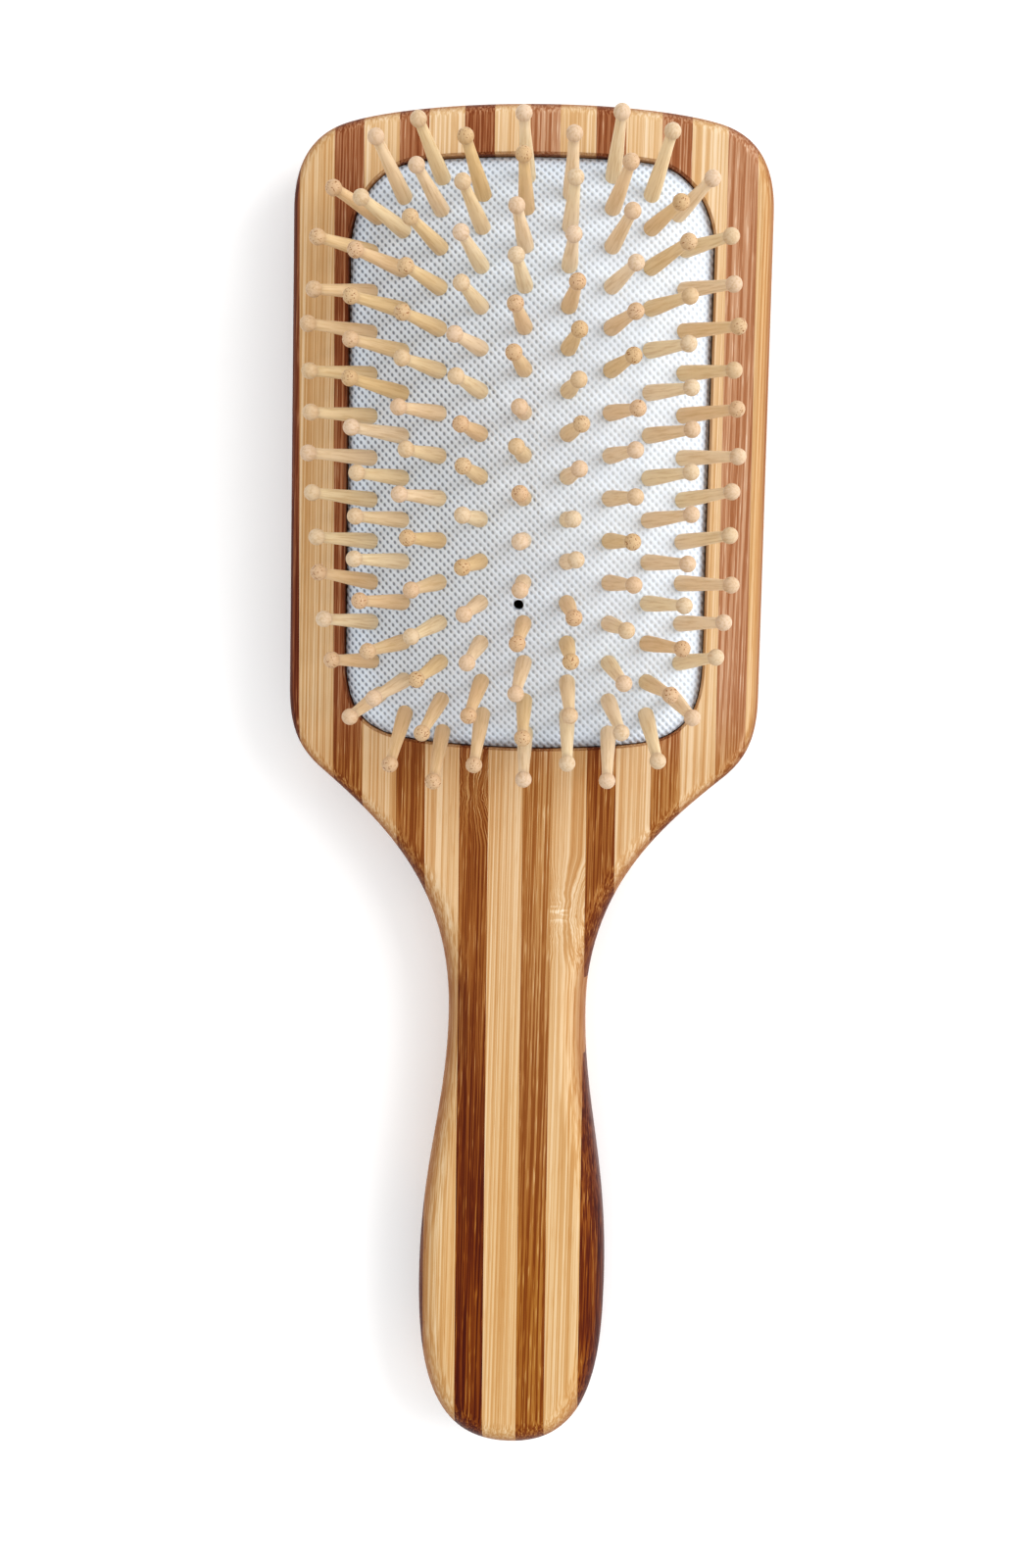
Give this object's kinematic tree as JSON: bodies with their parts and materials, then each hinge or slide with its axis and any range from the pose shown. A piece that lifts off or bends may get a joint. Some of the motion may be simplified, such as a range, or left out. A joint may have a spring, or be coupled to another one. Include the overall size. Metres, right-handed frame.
{
  "type": "paddle hair brush",
  "caption": "Bamboo paddle hair brush: striped laminated wooden paddle with a waisted handle, a domed white air cushion and ball-tipped wooden pins.",
  "frame": {"origin": "on the flat back face of the wood, behind the centre of the cushion recess", "axes": "+Z out of the pins, +Y to the top of the head so that the handle runs along -Y, +X to the right seen from the front"},
  "size_m": [0.083, 0.2396, 0.0411],
  "materials": {
    "bamboo_light": "satin lacquered natural bamboo, fine lengthwise fibres",
    "bamboo_dark": "satin lacquered carbonised bamboo, fine lengthwise fibres",
    "cushion_face": "white rubber sheet with an embossed textile face, matt",
    "pin_wood": "smooth pale turned wood, thin wax"
  },
  "bodies": {
    "paddle": {"bamboo_strip_01_dark": "bamboo_dark", "bamboo_strip_02_light": "bamboo_light", "bamboo_strip_03_dark": "bamboo_dark", "bamboo_strip_04_light": "bamboo_light", "bamboo_strip_05_dark": "bamboo_dark", "bamboo_strip_05_dark_handle": "bamboo_dark", "bamboo_strip_06_light": "bamboo_light", "bamboo_strip_07_dark": "bamboo_dark", "bamboo_strip_08_light": "bamboo_light", "bamboo_strip_09_dark": "bamboo_dark", "bamboo_strip_10_light": "bamboo_light", "bamboo_strip_11_dark": "bamboo_dark", "bamboo_strip_11_dark_handle": "bamboo_dark", "bamboo_strip_12_light": "bamboo_light", "bamboo_strip_13_dark": "bamboo_dark", "bamboo_strip_14_light": "bamboo_light", "bamboo_strip_15_dark": "bamboo_dark", "bamboo_strip_16_light": "bamboo_light"},
    "cushion": {"cushion_pad": "cushion_face"},
    "pins_1": {"pin_column_1": "pin_wood"},
    "pins_2": {"pin_column_2": "pin_wood"},
    "pins_3": {"pin_column_3": "pin_wood"},
    "pins_4": {"pin_column_4": "pin_wood"},
    "pins_5": {"pin_column_5": "pin_wood"},
    "pins_6": {"pin_column_6": "pin_wood"},
    "pins_7": {"pin_column_7": "pin_wood"},
    "pins_8": {"pin_column_8": "pin_wood"},
    "pins_9": {"pin_column_9": "pin_wood"}
  },
  "joints": [
    {"name": "cushion_press", "type": "slide", "parent": "paddle", "child": "cushion", "axis": [0, 0, -1], "range_m": [0, 0.001], "stiffness_N_per_m": 800},
    {"name": "pin_column_1_rock", "type": "hinge", "parent": "cushion", "child": "pins_1", "pos_m": [-0.02698, -0.00082, 0.0159], "axis": [-0.0157, 0.9999, 0], "range_deg": [-6, 6], "stiffness_Nm_per_rad": 0.02},
    {"name": "pin_column_2_rock", "type": "hinge", "parent": "cushion", "child": "pins_2", "pos_m": [-0.02121, -0.00073, 0.0181], "axis": [-0.0157, 0.9999, 0], "range_deg": [-6, 6], "stiffness_Nm_per_rad": 0.02},
    {"name": "pin_column_3_rock", "type": "hinge", "parent": "cushion", "child": "pins_3", "pos_m": [-0.01461, -0.00063, 0.0195], "axis": [-0.0157, 0.9999, 0], "range_deg": [-6, 6], "stiffness_Nm_per_rad": 0.02},
    {"name": "pin_column_4_rock", "type": "hinge", "parent": "cushion", "child": "pins_4", "pos_m": [-0.00745, -0.00052, 0.021], "axis": [-0.0157, 0.9999, 0], "range_deg": [-6, 6], "stiffness_Nm_per_rad": 0.02},
    {"name": "pin_column_5_rock", "type": "hinge", "parent": "cushion", "child": "pins_5", "pos_m": [0, -0.0004, 0.0208], "axis": [-0.0157, 0.9999, 0], "range_deg": [-6, 6], "stiffness_Nm_per_rad": 0.02},
    {"name": "pin_column_6_rock", "type": "hinge", "parent": "cushion", "child": "pins_6", "pos_m": [0.00745, -0.00028, 0.021], "axis": [-0.0157, 0.9999, 0], "range_deg": [-6, 6], "stiffness_Nm_per_rad": 0.02},
    {"name": "pin_column_7_rock", "type": "hinge", "parent": "cushion", "child": "pins_7", "pos_m": [0.01461, -0.00017, 0.0195], "axis": [-0.0157, 0.9999, 0], "range_deg": [-6, 6], "stiffness_Nm_per_rad": 0.02},
    {"name": "pin_column_8_rock", "type": "hinge", "parent": "cushion", "child": "pins_8", "pos_m": [0.02121, -0.00007, 0.0181], "axis": [-0.0157, 0.9999, 0], "range_deg": [-6, 6], "stiffness_Nm_per_rad": 0.02},
    {"name": "pin_column_9_rock", "type": "hinge", "parent": "cushion", "child": "pins_9", "pos_m": [0.02698, 0.00002, 0.0159], "axis": [-0.0157, 0.9999, 0], "range_deg": [-6, 6], "stiffness_Nm_per_rad": 0.02}
  ]
}
